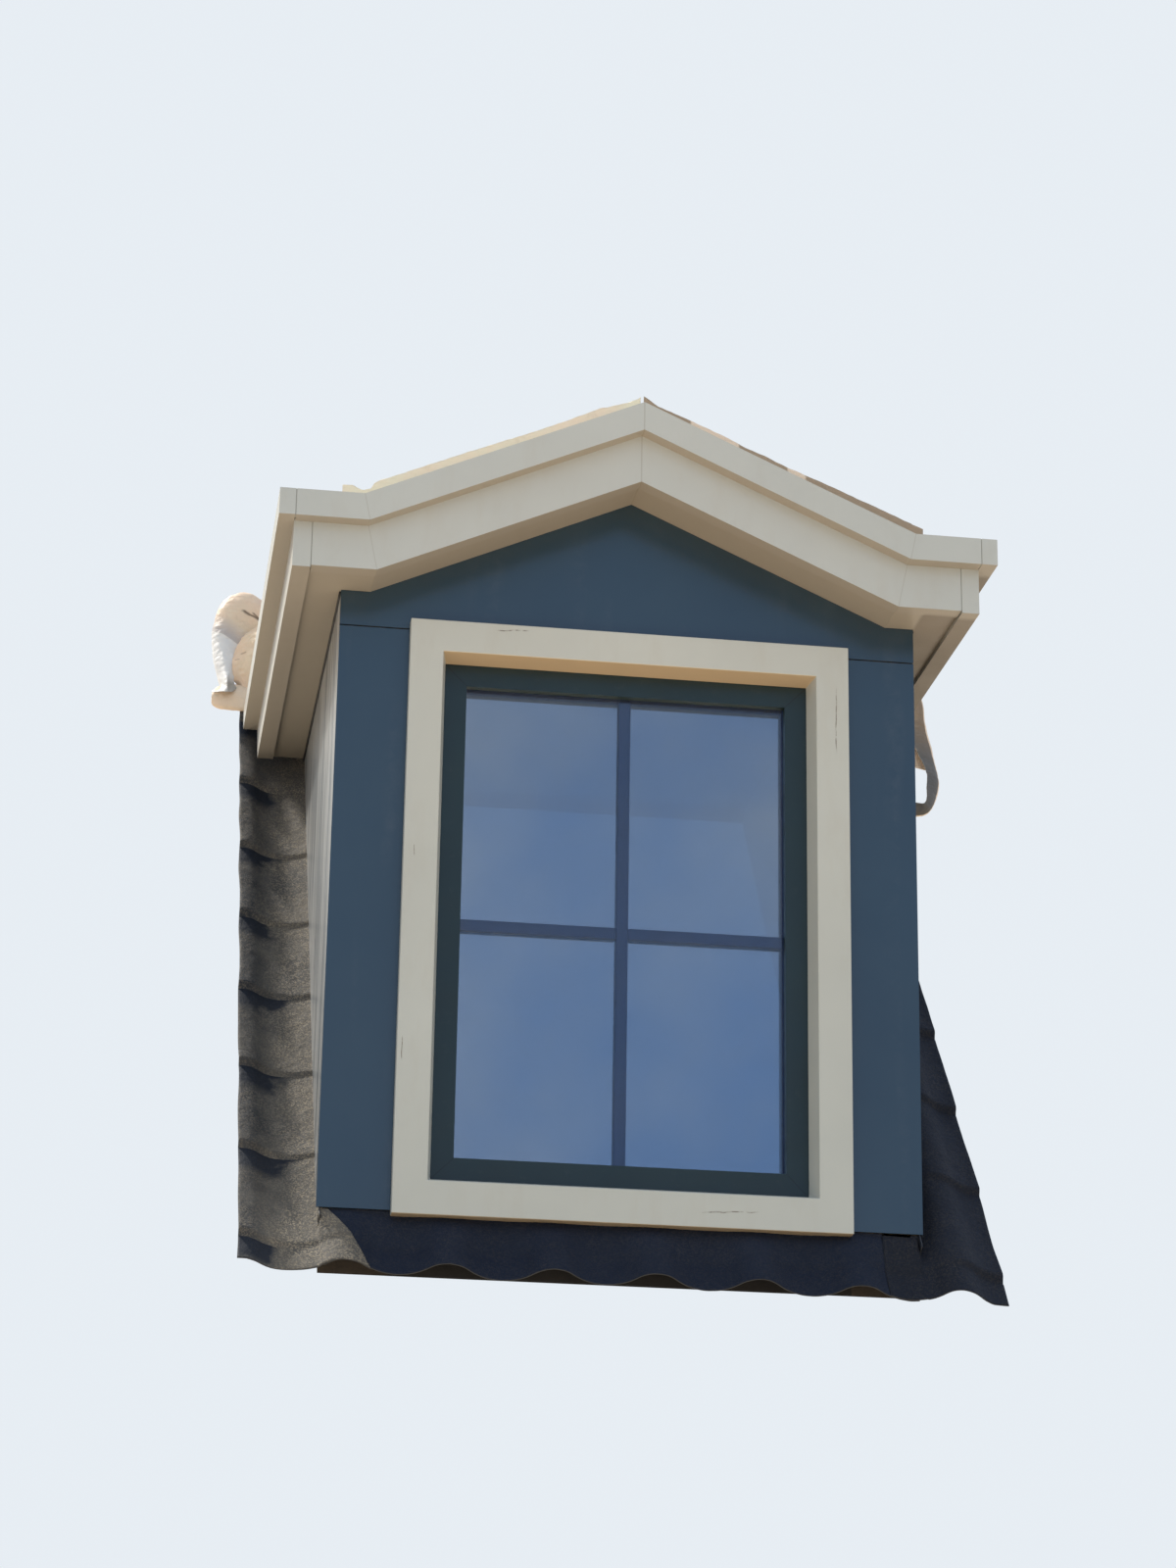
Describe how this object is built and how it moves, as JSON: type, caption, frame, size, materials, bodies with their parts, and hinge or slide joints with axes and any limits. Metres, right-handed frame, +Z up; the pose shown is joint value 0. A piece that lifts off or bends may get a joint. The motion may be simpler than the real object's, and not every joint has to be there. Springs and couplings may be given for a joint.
{
  "type": "gabled dormer window",
  "caption": "Gabled dormer window for a steep tiled roof: glazed sash in a deep frame, clad cheeks, stepped boxed eaves with a gable, and a flashing skirt shaped to the tiles.",
  "frame": {"origin": "On the sloping seat, the flat underside that lies on the roof, under the middle of the front base beam and 50 mm behind the front panels' face", "axes": "+X to the right along the front, +Y level and back into the roof, +Z up"},
  "size_m": [1.8335, 1.6674, 2.0215],
  "materials": {
    "timber": "planed softwood",
    "deck_board": "plywood",
    "wall_core": "oriented strand board faces",
    "lining": "matt white lining board",
    "cladding": "satin slate-blue compact panel",
    "window_frame": "satin cream, lightly grained, scuffed",
    "sash": "satin very dark green",
    "glass": "clear double glazing",
    "spacer": "satin grey",
    "eaves": "satin cream",
    "membrane": "matt black",
    "liner": "beige liner film, creased",
    "flashing": "matt black-brown, granular, wrinkled"
  },
  "bodies": {
    "root": {"base_rail_left": "timber", "base_rail_right": "timber", "front_base_beam": "timber", "top_base_beam": "timber", "roof_deck_left": "deck_board", "roof_deck_right": "deck_board", "gutter_boards": "deck_board", "cheek_wall_left": "wall_core", "cheek_wall_right": "wall_core", "gable_wall": "wall_core", "cheek_lining_left": "lining", "cheek_lining_right": "lining", "ceiling_lining": "lining", "cheek_cladding_left": "cladding", "cheek_cladding_right": "cladding", "front_panel_left": "cladding", "front_panel_right": "cladding", "gable_panel": "cladding", "window_frame_head": "window_frame", "window_frame_sill": "window_frame", "window_frame_jamb_left": "window_frame", "window_frame_jamb_right": "window_frame", "sash_top_rail": "sash", "sash_bottom_rail": "sash", "sash_stile_left": "sash", "sash_stile_right": "sash", "glass_panes": "glass", "glazing_spacer": "spacer", "soffit_left": "eaves", "soffit_right": "eaves", "front_fascia_left": "eaves", "front_fascia_right": "eaves", "side_fascia_left": "eaves", "side_fascia_right": "eaves", "front_trim_left": "eaves", "front_trim_right": "eaves", "side_trim_left": "eaves", "side_trim_right": "eaves", "roof_membrane": "membrane", "edge_strips": "liner", "liner_roll_left": "liner", "liner_flap_right": "liner", "apron_flashing": "flashing", "side_flashing_left": "flashing", "side_flashing_right": "flashing"}
  },
  "joints": []
}
